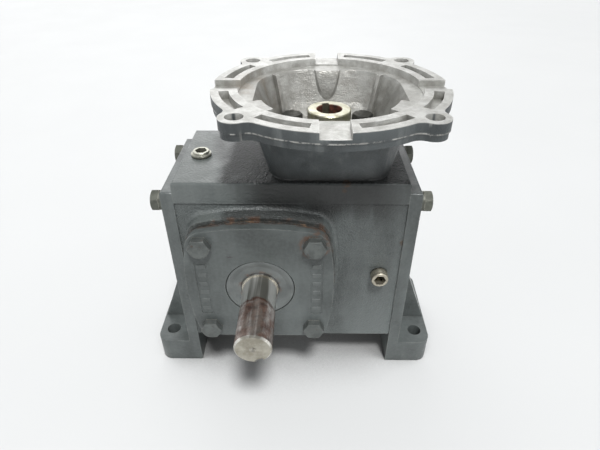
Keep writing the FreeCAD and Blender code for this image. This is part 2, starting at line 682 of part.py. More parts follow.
def make_bracket(name, side):
    """An L-shaped cast bracket with a central gusset; side is -1 on the left and 1 on the right."""
    def mirrored(low_x, low_y, low_z, high_x, high_y, high_z):
        ends = ("(%d) * (%s)" % (side, low_x), "(%d) * (%s)" % (side, high_x))
        first, last = ends if side > 0 else ends[::-1]
        return block((first, low_y, low_z), (last, high_y, high_z))
    outer = "housing_half_width + bracket_thickness"
    plate = mirrored("housing_half_width", "-band_half_depth", "0", outer, "band_half_depth", "bracket_top")
    plate = round_edges(plate, 1.5, lambda edge: edge.CenterOfMass.z > SIZE["bracket_top"] - 0.01
                        and abs(edge.CenterOfMass.x) > SIZE["housing_half_width"] + 1)
    foot = mirrored("housing_half_width", "-band_half_depth", "0", "foot_reach", "band_half_depth", "foot_height")
    corner_x = SIZE["foot_reach"] - 0.01
    foot = round_edges(foot, SIZE["foot_corner"],
                       lambda edge: along("z")(edge) and abs(edge.CenterOfMass.x) > corner_x)
    wedge = doc.addObject("Part::Wedge", "Gusset")
    bind(wedge, Xmax="foot_reach - housing_half_width", X2max=outer + " - housing_half_width + 0.01",
         Ymax="gusset_top - foot_height + 2", Zmax="gusset_width", Z2max="gusset_width")
    wedge.Xmin = 0
    wedge.X2min = 0
    wedge.Ymin = 0
    wedge.Zmin = 0
    wedge.Z2min = 0
    along_y = "gusset_width / 2" if side > 0 else "-gusset_width / 2"
    place(wedge, ("(%d) * housing_half_width" % side, along_y, "foot_height - 2"))
    turn = FreeCAD.Rotation(FreeCAD.Vector(1, 0, 0), 90)
    if side < 0:
        turn = FreeCAD.Rotation(FreeCAD.Vector(0, 0, 1), 180).multiply(turn)
    wedge.Placement.Rotation = turn
    cutters = []
    for hole_side in (-1, 1):
        cutters.append(rod("foot_hole", "foot_height + 2",
                           ("(%d) * foot_hole_x" % side, "(%d) * foot_hole_y" % hole_side, "-1")))
    facing = "+X" if side > 0 else "-X"
    for y, z in bracket_bolt_places():
        cutters.append(rod("bolt_clear_hole", "bracket_thickness + 2",
                           ("(%d) * (housing_half_width - 1)" % side, y, z), facing))
    node(name + "_foot_bracket", cut(fuse(plate, foot, wedge), *cutters))
    washers = []
    bolts = []
    for y, z in bracket_bolt_places():
        seat = ("(%d) * (%s)" % (side, outer), y, z)
        washers.append(tube("6.4", "4.3", "washer_height", seat, facing))
        head_seat = ("(%d) * (%s + washer_height)" % (side, outer), y, z)
        bolts.append(hex_bolt(head_seat, facing, "washer_height + bracket_thickness + 12"))
    node(name + "_bracket_washers", group(*washers))
    node(name + "_bracket_bolts", group(*bolts))


# ---------------------------------------------------------------- output line

def make_output_shaft():
    front = "front_boss_face + cover_gasket"
    rear = "rear_boss_face + cover_gasket"
    slim = "output_diameter / 2"
    journal = "output_bore / 2"
    seat = "gear_seat / 2"
    outline = [
        ("0", "-(%s) + 0.6" % rear), (journal + " - 0.8", "-(%s) + 0.6" % rear), (journal, "-(%s) + 1.4" % rear),
        (journal, "-hub_width / 2"), (seat, "-hub_width / 2"), (seat, "hub_width / 2"),
        ("16", "hub_width / 2"), ("16", "%s - output_width" % front), (journal, "%s - output_width" % front),
        (journal, "%s + 0.3" % front), ("seal_journal / 2", "%s + 0.7" % front),
        ("seal_journal / 2", "%s + cover_thickness + 0.1" % front), (slim, "%s + cover_thickness + 0.1" % front),
        (slim, "output_end - 1"),
        (slim + " - 1", "output_end"), ("2", "output_end"), ("0", "output_end - 1.6"),
    ]
    shaft = turned(outline, (GEAR_X, "0", "gear_z"), "-Y")
    keyway = doc.addObject("Part::Box", "Keyway")
    bind(keyway, Length="output_key_width", Width="output_key_length", Height="output_key_depth + 2")
    angle = "21deg"
    depth = "(output_diameter / 2 + 2)"
    x = GEAR_X + " + %s * sin(%s) - output_key_width / 2 * cos(%s)" % (depth, angle, angle)
    z = "gear_z - %s * cos(%s) - output_key_width / 2 * sin(%s)" % (depth, angle, angle)
    place(keyway, (x, "-output_end - 1", z))
    keyway.Placement.Rotation = FreeCAD.Rotation(FreeCAD.Vector(0, 1, 0), -21)
    key_slot = block((GEAR_X + " - gear_key_width / 2", "-10", "gear_z + gear_seat / 2 - 4"),
                     (GEAR_X + " + gear_key_width / 2", "10", "gear_z + gear_seat / 2 + 4"))
    node("output_shaft", cut(shaft, keyway, key_slot))
    node("gear_key", block((GEAR_X + " - gear_key_width / 2", "-10", "gear_z + gear_seat / 2 - 4"),
                           (GEAR_X + " + gear_key_width / 2", "10", "gear_z + gear_seat / 2 - 4 + gear_key_height")))
    node("gear_spacer", tube("16", journal, "%s - output_width - hub_width / 2" % rear,
                             (GEAR_X, "hub_width / 2", "gear_z"), "+Y"))


def make_worm_wheel():
    """A bronze wheel whose slanted teeth mesh with the worm; a tooth gap faces +X at mid width."""
    module = SIZE["module"]
    teeth = int(SIZE["gear_teeth"])
    pitch_radius = module * teeth / 2
    worm_radius = SIZE["centre_distance"] - pitch_radius
    lead_slope = module * SIZE["worm_starts"] / (2 * worm_radius)
    tip = pitch_radius + module
    root = pitch_radius - 1.25 * module
    half_root = 0.5 * math.pi / teeth * 1.28
    half_tip = 0.5 * math.pi / teeth * 0.46
    step = 2 * math.pi / teeth
    gear_x = SIZE["worm_x"] - SIZE["centre_distance"]

    def section(y):
        lean = -y * lead_slope / pitch_radius
        corners = []
        for index in range(teeth):
            middle = (index + 0.5) * step + lean
            for radius, angle in ((root, -half_root), (tip, -half_tip), (tip, half_tip), (root, half_root)):
                turn = middle + angle
                corners.append(FreeCAD.Vector(gear_x + radius * math.cos(turn), y,
                                              SIZE["gear_z"] + radius * math.sin(turn)))
        return Part.makePolygon(corners + corners[:1])

    half = SIZE["gear_width"] / 2
    rim = doc.addObject("Part::Feature", "ToothedRim")
    rim.Shape = Part.makeLoft([section(-half), section(half)], True, True)
    # The outline narrows the rim's edges and leaves a thin web between rim and hub.
    blank = turned([("gear_seat / 2", "-3.5"), ("28.5", "-3.5"), ("28.5", "-gear_width / 2"),
                    ("34.1", "-gear_width / 2"), ("35.4", "1 - gear_width / 2"), ("35.4", "gear_width / 2 - 1"),
                    ("34.1", "gear_width / 2"), ("28.5", "gear_width / 2"), ("28.5", "3.5"),
                    ("gear_seat / 2", "3.5")], (GEAR_X, "0", "gear_z"), "-Y")
    hub = tube("hub_diameter / 2", "gear_seat / 2", "hub_width", (GEAR_X, "-hub_width / 2", "gear_z"), "+Y")
    slot = block((GEAR_X + " - gear_key_width / 2", "-20", "gear_z + gear_seat / 2 - 4"),
                 (GEAR_X + " + gear_key_width / 2", "20", "gear_z + gear_seat / 2 - 4 + gear_key_height"))
    node("worm_wheel", cut(fuse(common(rim, blank), hub), slot))


# ---------------------------------------------------------------- worm line

def make_worm_shaft():
    """A hollow input quill in one piece with a two-start right-hand worm."""
    module = SIZE["module"]
    pitch_radius = SIZE["centre_distance"] - module * SIZE["gear_teeth"] / 2
    outer = pitch_radius + module
    core = pitch_radius - 1.25 * module
    lead = math.pi * module * SIZE["worm_starts"]
    length = SIZE["worm_length"]
    start_z = SIZE["gear_z"] - length / 2
    quill = "quill_diameter / 2"
    journal = "lower_bore / 2"
    outline = [
        ("0", "lower_bottom + 0.6"), (journal + " - 0.6", "lower_bottom + 0.6"), (journal, "lower_bottom + 1.2"),
        (journal, "lower_bottom + lower_width"), ("12.2", "lower_bottom + lower_width"),
        ("12.2", "gear_z - worm_length / 2 - 9"), ("%.3f" % core, "gear_z - worm_length / 2 - 4"),
        ("%.3f" % core, "gear_z + worm_length / 2 + 4"), ("12.2", "gear_z + worm_length / 2 + 9"),
        ("16", "upper_bottom - 6"), ("16", "upper_bottom"), (quill, "upper_bottom"),
        (quill, "quill_top - 0.6"), (quill + " - 0.6", "quill_top"),
        ("quill_bore / 2 + 0.5", "quill_top"), ("quill_bore / 2", "quill_top - 0.5"),
        ("quill_bore / 2", "quill_top - quill_bore_depth"), ("0", "quill_top - quill_bore_depth - 4"),
    ]
    body = turned(outline, ("worm_x", "0", "0"))
    keyway = spoke("quill_key_width", "0", "quill_key_reach", "quill_top - 38", "quill_top + 5", 105)

    half_low = 1.05 + 0.4 * 1.25 * module
    half_high = 1.05 - 0.4 * module
    helix = Part.makeHelix(lead, length, pitch_radius)
    threads = []
    for index in range(int(SIZE["worm_starts"])):
        corners = [FreeCAD.Vector(core - 0.4, 0, -half_low), FreeCAD.Vector(outer, 0, -half_high),
                   FreeCAD.Vector(outer, 0, half_high), FreeCAD.Vector(core - 0.4, 0, half_low)]
        pipe = Part.BRepOffsetAPI.MakePipeShell(helix)
        pipe.setFrenetMode(True)
        pipe.add(Part.makePolygon(corners + corners[:1]))
        pipe.build()
        pipe.makeSolid()
        thread = doc.addObject("Part::Feature", "Thread")
        thread.Shape = pipe.shape()
        # A thread crosses the gear's centre plane on the side that faces the wheel.
        turns_at_middle = (length / 2) / lead
        facing_wheel = 180 - 360 * turns_at_middle + 360.0 / SIZE["worm_starts"] * index
        thread.Placement = FreeCAD.Placement(FreeCAD.Vector(SIZE["worm_x"], 0, start_z),
                                             FreeCAD.Rotation(FreeCAD.Vector(0, 0, 1), facing_wheel))
        threads.append(thread)
    node("worm_shaft", cut(fuse(body, *threads), keyway))


def build():
    make_housing()
    make_cover("front", "front_boss_face", -1, "cover_thickness", True)
    make_cover("rear", "rear_boss_face", 1, "rear_cover_thickness", False)
    make_output_seal()
    make_worm_end_cap()
    make_plugs()
    make_motor_flange()
    make_input_seal()
    make_bracket("left", -1)
    make_bracket("right", 1)
    make_output_shaft()
    make_worm_wheel()
    make_worm_shaft()
    ball_bearing("input_bearing", "upper", ("worm_x", "0", "upper_bottom"), "+Z", 9)
    ball_bearing("end_bearing", "lower", ("worm_x", "0", "lower_bottom"), "+Z", 8)
    ball_bearing("front_bearing", "output", (GEAR_X, "-front_boss_face - cover_gasket", "gear_z"), "+Y", 9)
    ball_bearing("rear_bearing", "output", (GEAR_X, "rear_boss_face + cover_gasket - output_width", "gear_z"), "+Y", 9)


def check_and_export():
    doc.recompute()
    for item in doc.Objects:
        if "Invalid" in item.State or "Error" in item.State:
            raise RuntimeError("%s did not recompute" % item.Name)
    for name, item in NODES.items():
        if item.Shape.isNull() or not item.Shape.isValid():
            raise RuntimeError("%s has no valid shape" % name)
    os.makedirs("parts", exist_ok=True)
    for name, item in NODES.items():
        item.Shape.exportStep("parts/%s.step" % name)
        print("%-26s solids %2d  volume %10.1f" % (name, len(item.Shape.Solids), item.Shape.Volume))


build()
check_and_export()
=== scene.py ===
"""Worm gearbox: finishes, fine details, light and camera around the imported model."""
import math

import bmesh
import bpy
from mathutils import Matrix, Vector


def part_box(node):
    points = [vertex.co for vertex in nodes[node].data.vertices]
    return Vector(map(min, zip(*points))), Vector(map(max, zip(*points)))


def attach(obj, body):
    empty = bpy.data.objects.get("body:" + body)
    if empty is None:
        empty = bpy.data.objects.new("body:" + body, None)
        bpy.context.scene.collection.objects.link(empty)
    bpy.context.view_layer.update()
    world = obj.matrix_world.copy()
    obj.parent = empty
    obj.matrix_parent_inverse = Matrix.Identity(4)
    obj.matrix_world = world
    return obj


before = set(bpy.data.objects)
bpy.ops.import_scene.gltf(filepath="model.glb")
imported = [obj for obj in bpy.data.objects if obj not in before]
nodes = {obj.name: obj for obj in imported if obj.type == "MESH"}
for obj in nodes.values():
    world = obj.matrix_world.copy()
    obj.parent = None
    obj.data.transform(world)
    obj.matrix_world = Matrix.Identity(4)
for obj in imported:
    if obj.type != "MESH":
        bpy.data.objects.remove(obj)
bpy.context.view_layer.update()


def centre_of(name):
    low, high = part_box(name)
    return (low + high) / 2


MM = 0.001
WORM_X = centre_of("worm_shaft").x
GEAR = centre_of("output_shaft")
COVER_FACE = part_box("front_cover")[0].y
SHAFT_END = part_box("output_shaft")[0].y
RIM_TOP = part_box("motor_flange")[1].z
LAND_ROOT = -49.8 * MM
PARTING = 204.5 * MM
BAND_BOTTOM = 149.0 * MM
BELL_FOOT = 168.0 * MM
RIM_WALL = 71.0 * MM
RIM_UNDERSIDE = 200.0 * MM
BELL_RADIUS = 56.0 * MM
BORE_WALL = 8.1 * MM
BARS_PER_PANEL = 6
BAR_SPACING = 7.3 * MM
BAR_SIZE = (5.8 * MM, 0.6 * MM, 3.2 * MM)
PANEL_OFFSET = 37 * MM
PANEL_DEPTH = 0.45 * MM
FLOOR_HALF = 12.0
OBJECT_MIDDLE = (0, 0, 0.1)
CAMERA_PLACE = (0.00929, -0.28171, 0.30224)
CAMERA_PITCH, CAMERA_YAW, CAMERA_ROLL = (math.radians(angle) for angle in (35.04, 0.872, -0.234))
CAMERA_LENS, CAMERA_SENSOR = 27.48, 36.0
ROOM_TINT = (0.97, 0.985, 1.0, 1.0)
WALL_GLOW, CEILING_GLOW = 0.66, 0.40
COVER_SCRATCH = (-0.0385, COVER_FACE, 0.1215)
COVER_BLOT = (0.0150, COVER_FACE, 0.1305)
BELL_STAIN = (-0.021, 0.012, 0.196)
# Each stain is a centre, a reach and a strength.
HOUSING_STAINS = (
    ((0.0341, -0.0393, 0.1632), 0.0034, 0.9),
    ((0.0736, -0.0390, 0.1180), 0.0030, 0.7),
    ((0.0330, -0.0402, 0.1585), 0.0020, 0.6),
)


# ---------------------------------------------------------------- material building blocks

def tone(red, green, blue):
    """A display colour of 0 to 255 as the linear colour a shader takes."""
    def linear(value):
        value /= 255.0
        return value / 12.92 if value <= 0.04045 else ((value + 0.055) / 1.055) ** 2.4
    return (linear(red), linear(green), linear(blue), 1.0)


class Graph:
    """A material's node tree, written as nested calls."""

    def __init__(self, name):
        self.material = bpy.data.materials.new(name)
        self.material.use_nodes = True
        self.tree = self.material.node_tree
        self.shader = self.tree.nodes["Principled BSDF"]
        self.spot = self.add("ShaderNodeTexCoord").outputs["Object"]

    def add(self, kind, **settings):
        item = self.tree.nodes.new(kind)
        for name, value in settings.items():
            setattr(item, name, value)
        return item

    def feed(self, socket, value):
        if isinstance(value, bpy.types.NodeSocket):
            self.tree.links.new(value, socket)
        else:
            socket.default_value = value

    def sum(self, kind, first, second=0.0, third=0.0):
        item = self.add("ShaderNodeMath", operation=kind)
        for socket, value in zip(item.inputs, (first, second, third)):
            self.feed(socket, value)
        return item.outputs[0]

    def times(self, first, second):
        return self.sum("MULTIPLY", first, second)

    def plus(self, first, second):
        return self.sum("ADD", first, second)

    def most(self, first, second):
        return self.sum("MAXIMUM", first, second)

    def without(self, value):
        return self.sum("SUBTRACT", 1.0, value)

    def length(self, first, second):
        """The length of the flat vector with these two parts."""
        return self.sum("SQRT", self.plus(self.times(first, first), self.times(second, second)))

    def step(self, value, low, high, to_low=0.0, to_high=1.0):
        item = self.add("ShaderNodeMapRange", interpolation_type="SMOOTHSTEP")
        for name, number in (("Value", value), ("From Min", low), ("From Max", high),
                             ("To Min", to_low), ("To Max", to_high)):
            self.feed(item.inputs[name], number)
        return item.outputs["Result"]

    def shifted(self, scale=(1, 1, 1), offset=(0, 0, 0)):
        item = self.add("ShaderNodeMapping")
        self.feed(item.inputs["Vector"], self.spot)
        item.inputs["Scale"].default_value = scale
        item.inputs["Location"].default_value = offset
        return item.outputs["Vector"]

    def noise(self, scale, detail=4.0, roughness=0.55, stretch=(1, 1, 1), offset=(0, 0, 0)):
        item = self.add("ShaderNodeTexNoise")
        self.feed(item.inputs["Vector"], self.shifted(stretch, offset))
        item.inputs["Scale"].default_value = scale
        item.inputs["Detail"].default_value = detail
        item.inputs["Roughness"].default_value = roughness
        return item.outputs["Fac"]

    def cells(self, scale):
        item = self.add("ShaderNodeTexVoronoi")
        self.feed(item.inputs["Vector"], self.shifted())
        item.inputs["Scale"].default_value = scale
        return item.outputs["Distance"]

    def axes(self):
        item = self.add("ShaderNodeSeparateXYZ")
        self.feed(item.inputs[0], self.spot)
        return item.outputs

    def facing(self):
        item = self.add("ShaderNodeSeparateXYZ")
        geometry = self.add("ShaderNodeNewGeometry")
        self.feed(item.inputs[0], geometry.outputs["Normal"])
        return item.outputs

    def distance_from(self, point, stretch=(1, 1, 1)):
        """How far a surface point lies from a fixed point, in metres."""
        scaled = self.shifted(stretch, [-p * s for p, s in zip(point, stretch)])
        item = self.add("ShaderNodeVectorMath", operation="LENGTH")
        self.feed(item.inputs[0], scaled)
        return item.outputs["Value"]

    def crevice(self, reach, inside=False):
        """Rises from 0 towards 1 in corners, or on sharp edges when it looks inside the solid."""
        item = self.add("ShaderNodeAmbientOcclusion", inside=inside, samples=8)
        item.inputs["Distance"].default_value = reach
        return self.without(item.outputs["AO"])

    def mix(self, amount, first, second):
        item = self.add("ShaderNodeMix", data_type="RGBA")
        self.feed(item.inputs[0], amount)
        self.feed(item.inputs[6], first)
        self.feed(item.inputs[7], second)
        return item.outputs[2]

    def bump(self, height, distance, base=None):
        item = self.add("ShaderNodeBump")
        self.feed(item.inputs["Height"], height)
        item.inputs["Distance"].default_value = distance
        if base is not None:
            self.feed(item.inputs["Normal"], base)
        return item.outputs["Normal"]

    def finish(self, colour, roughness, normal, metallic=0.0, **settings):
        self.feed(self.shader.inputs["Base Color"], colour)
        self.feed(self.shader.inputs["Roughness"], roughness)
        self.feed(self.shader.inputs["Normal"], normal)
        self.feed(self.shader.inputs["Metallic"], metallic)
        for name, value in settings.items():
            self.shader.inputs[name.replace("_", " ")].default_value = value
        return self.material


RUST = tone(92, 62, 42)
DARK_GRIME = tone(40, 36, 30)
PAINT = tone(83, 88, 87)
PAINT_LIGHT = tone(110, 116, 115)
PAINT_DARK = tone(62, 66, 65)
BARE_EDGE = tone(160, 163, 158)


# ---------------------------------------------------------------- materials

def paint_layers(g, grain, wear=0.6):
    """Enamel over a casting: cloudy tone, streaks, grime and painted shade in corners and pale worn
    edges.
    """
    clouds = g.step(g.noise(20, 5, 0.6), 0.36, 0.66)
    streaks = g.step(g.noise(55, 4, 0.6, stretch=(1, 1, 0.16)), 0.40, 0.72)
    fine = g.step(g.noise(420, 3, 0.6), 0.35, 0.7)
    colour = g.mix(clouds, PAINT_DARK, PAINT)
    colour = g.mix(g.times(streaks, 0.30), colour, PAINT_LIGHT)
    colour = g.mix(g.times(fine, 0.14), colour, PAINT_LIGHT)
    stains = g.step(g.noise(60, 6, 0.7, offset=(3, 1, 0)), 0.62, 0.78)
    colour = g.mix(g.times(stains, 0.4), colour, DARK_GRIME)
    # Grime and painted shade: darker in corners and creases.
    crevices = g.crevice(0.006)
    grime_and_shade = g.times(g.step(crevices, 0.30, 0.75), g.step(g.noise(160, 5, 0.7), 0.3, 0.6))
    colour = g.mix(g.times(grime_and_shade, 0.6), colour, DARK_GRIME)
    edges = g.times(g.step(g.crevice(0.0016, inside=True), 0.40, 0.60),
                    g.step(g.noise(140, 5, 0.7), 0.35, 0.6))
    colour = g.mix(g.times(edges, wear), colour, BARE_EDGE)
    roughness = g.step(g.noise(90, 4), 0.3, 0.7, 0.30, 0.44)
    pits = g.cells(620)
    peel = g.noise(190, 3)
    height = g.plus(g.times(pits, grain), g.times(peel, 0.8))
    normal = g.bump(height, 0.00032)
    return colour, roughness, normal


def painted_casting(name, grain=0.5, wear=0.6):
    g = Graph(name)
    colour, roughness, normal = paint_layers(g, grain, wear=wear)
    return g.finish(colour, roughness, normal, Specular_IOR_Level=0.5)


def housing_paint():
    """Rough as-cast walls, smoother paint on the band and the top's left end, soot near the bell."""
    g = Graph("housing_paint")
    x, y, z = g.axes()
    colour, roughness, normal = paint_layers(g, 0.5)
    facing = g.facing()
    on_front = g.step(facing["Y"], -0.9, -0.6, 1.0, 0.0)
    on_top = g.step(facing["Z"], 0.7, 0.95)
    ragged = g.plus(x, g.times(g.noise(45, 4), 0.022))
    smooth_end = g.times(on_top, g.step(ragged, -0.040, -0.033, 1.0, 0.0))
    near_bell = g.times(on_top, g.step(ragged, -0.037, -0.028))
    soot = g.times(near_bell, g.step(g.noise(260, 6, 0.8), 0.22, 0.52))
    colour = g.mix(g.times(soot, 0.85), colour, tone(44, 46, 45))
    colour = g.mix(g.times(smooth_end, 0.75), colour, tone(88, 93, 91))
    on_band = g.times(g.step(z, BAND_BOTTOM, BAND_BOTTOM + 0.0012), on_front)
    band_streaks = g.step(g.noise(70, 4, 0.6, stretch=(1, 1, 0.1), offset=(7, 0, 0)), 0.30, 0.62)
    band_left = g.step(x, -0.050, -0.015, 1.0, 0.0)
    # Painted sheen: lighter vertical streaks on the left of the band.
    band_sheen = g.times(g.times(on_band, band_left), g.sum("MULTIPLY_ADD", band_streaks, -0.5, 0.60))
    colour = g.mix(band_sheen, colour, tone(104, 109, 107))
    # Oily soot and the flange's painted shadow hang down from the bell over the middle of the front.
    beside_bell = g.times(g.step(x, -0.040, -0.016), g.step(x, 0.052, 0.072, 1.0, 0.35))
    depth = g.plus(z, g.times(band_streaks, 0.010))
    oil_and_shadow = g.times(g.times(on_front, beside_bell), g.step(depth, 0.136, 0.156))
    colour = g.mix(g.times(oil_and_shadow, 0.88), colour, tone(34, 35, 34))
    # Painted light: the lower right of the front is lighter.
    lit_lower_right = g.times(g.times(on_front, g.step(z, 0.040, 0.135, 1.0, 0.0)), g.step(x, 0.030, 0.060))
    colour = g.mix(g.times(lit_lower_right, 0.6), colour, PAINT_LIGHT)
    sand = g.plus(g.times(g.cells(900), 0.9), g.noise(700, 4, 0.7))
    rough_wall = g.most(near_bell, g.step(z, BAND_BOTTOM - 0.001, BAND_BOTTOM + 0.0005, 0.75, 0.06))
    normal = g.bump(g.times(sand, rough_wall), 0.0005, base=normal)
    # The machined land under the cover is dark and rusty.
    land = g.step(y, LAND_ROOT - 0.0003, LAND_ROOT + 0.0001, 1.0, 0.0)
    land_rust = g.mix(g.step(g.noise(150, 5, 0.7), 0.50, 0.68),
                      tone(34, 32, 28), tone(104, 82, 60))
    colour = g.mix(g.times(land, 0.92), colour, land_rust)
    root_rust = g.times(g.step(y, LAND_ROOT, LAND_ROOT + 0.0035, 1.0, 0.0),
                        g.step(g.noise(120, 5, 0.7, offset=(1, 1, 4)), 0.50, 0.66))
    colour = g.mix(g.times(root_rust, 0.55), colour, RUST)
    for spot, size, weight in HOUSING_STAINS:
        patch = g.times(g.step(g.distance_from(spot), size * 0.45, size, 1.0, 0.0),
                        g.step(g.noise(420, 5, 0.7), 0.36, 0.52))
        colour = g.mix(g.times(patch, weight), colour, tone(66, 46, 26))
    roughness = g.most(roughness, g.step(near_bell, 0.0, 1.0, 0.2, 0.5))
    return g.finish(colour, roughness, normal, Specular_IOR_Level=0.5)


def cover_paint():
    """Smooth enamel with rust in the joint, a dark scratch and a rust blot near one bolt."""
    g = Graph("cover_paint")
    y = g.axes()["Y"]
    colour, roughness, normal = paint_layers(g, 0.12)
    joint = g.step(y, COVER_FACE + 0.0042, COVER_FACE + 0.0058)
    reach = g.times(joint, g.step(g.noise(70, 5, 0.7, offset=(2, 0, 0)), 0.42, 0.58))
    rust_tone = g.mix(g.noise(200, 4), DARK_GRIME, RUST)
    colour = g.mix(g.times(reach, 0.85), colour, rust_tone)
    scratch = g.step(g.distance_from(COVER_SCRATCH, (1, 1, 4)), 0.0012, 0.0030, 1.0, 0.0)
    ragged = g.times(scratch, g.step(g.noise(900, 4), 0.38, 0.5))
    colour = g.mix(g.times(ragged, 0.8), colour, tone(58, 52, 54))
    worn = g.step(g.distance_from(COVER_BLOT), 0.0085, 0.0115, 1.0, 0.0)
    blot = g.times(worn, g.step(g.noise(240, 5, 0.7), 0.42, 0.56))
    colour = g.mix(g.times(blot, 0.6), colour, RUST)
    return g.finish(colour, roughness, normal, Specular_IOR_Level=0.45)


def flange_metal():
    """Bare cast aluminium on top and inside, grey paint on the outward-facing sides."""
    g = Graph("flange_metal")
    x, y, z = g.axes()
    across = g.sum("SUBTRACT", x, WORM_X)
    radius = g.length(across, y)
    normal_x, normal_y, normal_z = g.facing()
    outward = g.sum("DIVIDE", g.plus(g.times(normal_x, across), g.times(normal_y, y)),
                    g.most(radius, 0.001))
    below_rim = g.step(z, RIM_TOP - 0.0006, RIM_TOP - 0.0001, 1.0, 0.0)
    side = g.times(g.step(outward, 0.25, 0.45), below_rim)
    outer_part = g.most(g.step(radius, RIM_WALL - 0.0005, RIM_WALL + 0.0005),
                        g.step(z, RIM_UNDERSIDE, RIM_UNDERSIDE + 0.0006, 1.0, 0.0))
    underside = g.step(normal_z, -0.7, -0.4, 1.0, 0.0)
    painted = g.most(g.times(side, outer_part), underside)
    chipped = g.step(g.plus(g.noise(150, 5, 0.7), g.times(g.crevice(0.0015, inside=True), -0.35)),
                     0.12, 0.26)
    parting = g.times(g.step(z, PARTING - 0.0008, PARTING - 0.0002),
                      g.step(z, PARTING + 0.0003, PARTING + 0.0009, 1.0, 0.0))
    # Paint worn off along the parting line; the bare strip also serves as a painted highlight.
    parting_wear_and_glint = g.times(g.times(parting, g.step(radius, RIM_WALL - 0.003, RIM_WALL - 0.001)),
                           g.step(g.noise(190, 5, 0.7), 0.44, 0.56))
    painted = g.times(g.times(painted, chipped), g.without(parting_wear_and_glint))

    clean = tone(186, 186, 182)
    dull = tone(156, 155, 150)
    # Painted highlight: near-white lines along the sharp edges.
    edge_glint = g.times(g.step(g.crevice(0.0014, inside=True), 0.40, 0.62),
                   g.step(g.noise(120, 4, 0.6), 0.3, 0.6))
    cloud = g.step(g.noise(130, 5, 0.65), 0.35, 0.65)
    metal = g.mix(cloud, clean, dull)
    stain = g.times(g.step(g.noise(55, 6, 0.75, offset=(1, 4, 2)), 0.56, 0.74), 0.35)
    metal = g.mix(stain, metal, tone(132, 126, 112))
    # Grime and painted shade in corners and pockets.
    grime_and_shade = g.times(g.step(g.crevice(0.006), 0.35, 0.8), 0.65)
    metal = g.mix(grime_and_shade, metal, tone(84, 82, 74))
    left_wall = g.times(g.step(g.distance_from(BELL_STAIN), 0.008, 0.030, 1.0, 0.0),
                        g.step(g.noise(90, 5, 0.7, stretch=(1, 1, 0.4)), 0.38, 0.62))
    metal = g.mix(g.times(left_wall, 0.5), metal, tone(128, 104, 74))
    speckle = g.step(g.noise(1500, 2), 0.3, 0.7)
    metal = g.mix(g.times(speckle, 0.16), metal, tone(120, 120, 116))
    # Painted shade: darker deep inside the bell.
    inside = g.step(radius, BELL_RADIUS - 0.012, BELL_RADIUS, 0.38, 0.0)
    metal = g.mix(inside, metal, tone(112, 110, 104))
    metal = g.mix(g.times(edge_glint, 0.7), metal, tone(236, 236, 233))

    paint_cloud = g.step(g.noise(24, 5), 0.35, 0.65)
    paint = g.mix(paint_cloud, tone(48, 52, 53), tone(72, 77, 78))
    # Painted reflections: pale vertical streaks on the painted sides.
    side_reflection_streaks = g.step(g.noise(75, 4, 0.6, stretch=(1, 1, 0.2), offset=(4, 4, 0)), 0.52, 0.72)
    paint = g.mix(g.times(side_reflection_streaks, 0.45), paint, tone(118, 122, 121))
    # Grime and painted shadow under the ring darken the bell towards its foot.
    foot_grime_and_shadow = g.step(g.plus(z, g.times(g.noise(60, 4), 0.008)), BELL_FOOT, BELL_FOOT + 0.012,
                       0.75, 0.0)
    paint = g.mix(foot_grime_and_shadow, paint, tone(38, 39, 38))
    colour = g.mix(painted, metal, paint)
    bare_rough = g.step(g.noise(120, 4), 0.3, 0.7, 0.28, 0.44)
    roughness = g.sum("MULTIPLY_ADD", painted, 0.12, bare_rough)
    metallic = g.step(painted, 0.0, 1.0, 0.45, 0.0)
    grain = g.plus(g.times(g.noise(1100, 3, 0.6), 0.8), g.times(g.noise(240, 3), 0.8))
    normal = g.bump(grain, 0.00036)
    return g.finish(colour, roughness, normal, metallic)


def bolt_steel(name, base, wear, rust):
    """Zinc and paint on a bolt: worn corners and rust bloom."""
    g = Graph(name)
    clouds = g.step(g.noise(180, 5, 0.6), 0.35, 0.65)
    colour = g.mix(clouds, base, [c * 0.7 for c in base[:3]] + [1.0])
    edges = g.times(g.step(g.crevice(0.0012, inside=True), 0.35, 0.55), wear)
    colour = g.mix(edges, colour, tone(158, 156, 146))
    bloom = g.step(g.noise(330, 6, 0.75, offset=(5, 2, 1)), 0.72 - 0.3 * rust, 0.84 - 0.3 * rust)
    colour = g.mix(g.times(bloom, 0.85), colour, g.mix(g.noise(500), DARK_GRIME, RUST))
    roughness = g.step(g.noise(240, 4), 0.3, 0.7, 0.36, 0.56)
    metallic = g.step(bloom, 0.0, 1.0, 0.55, 0.05)
    normal = g.bump(g.plus(g.noise(900, 3), bloom), 0.00012)
    return g.finish(colour, roughness, normal, metallic)


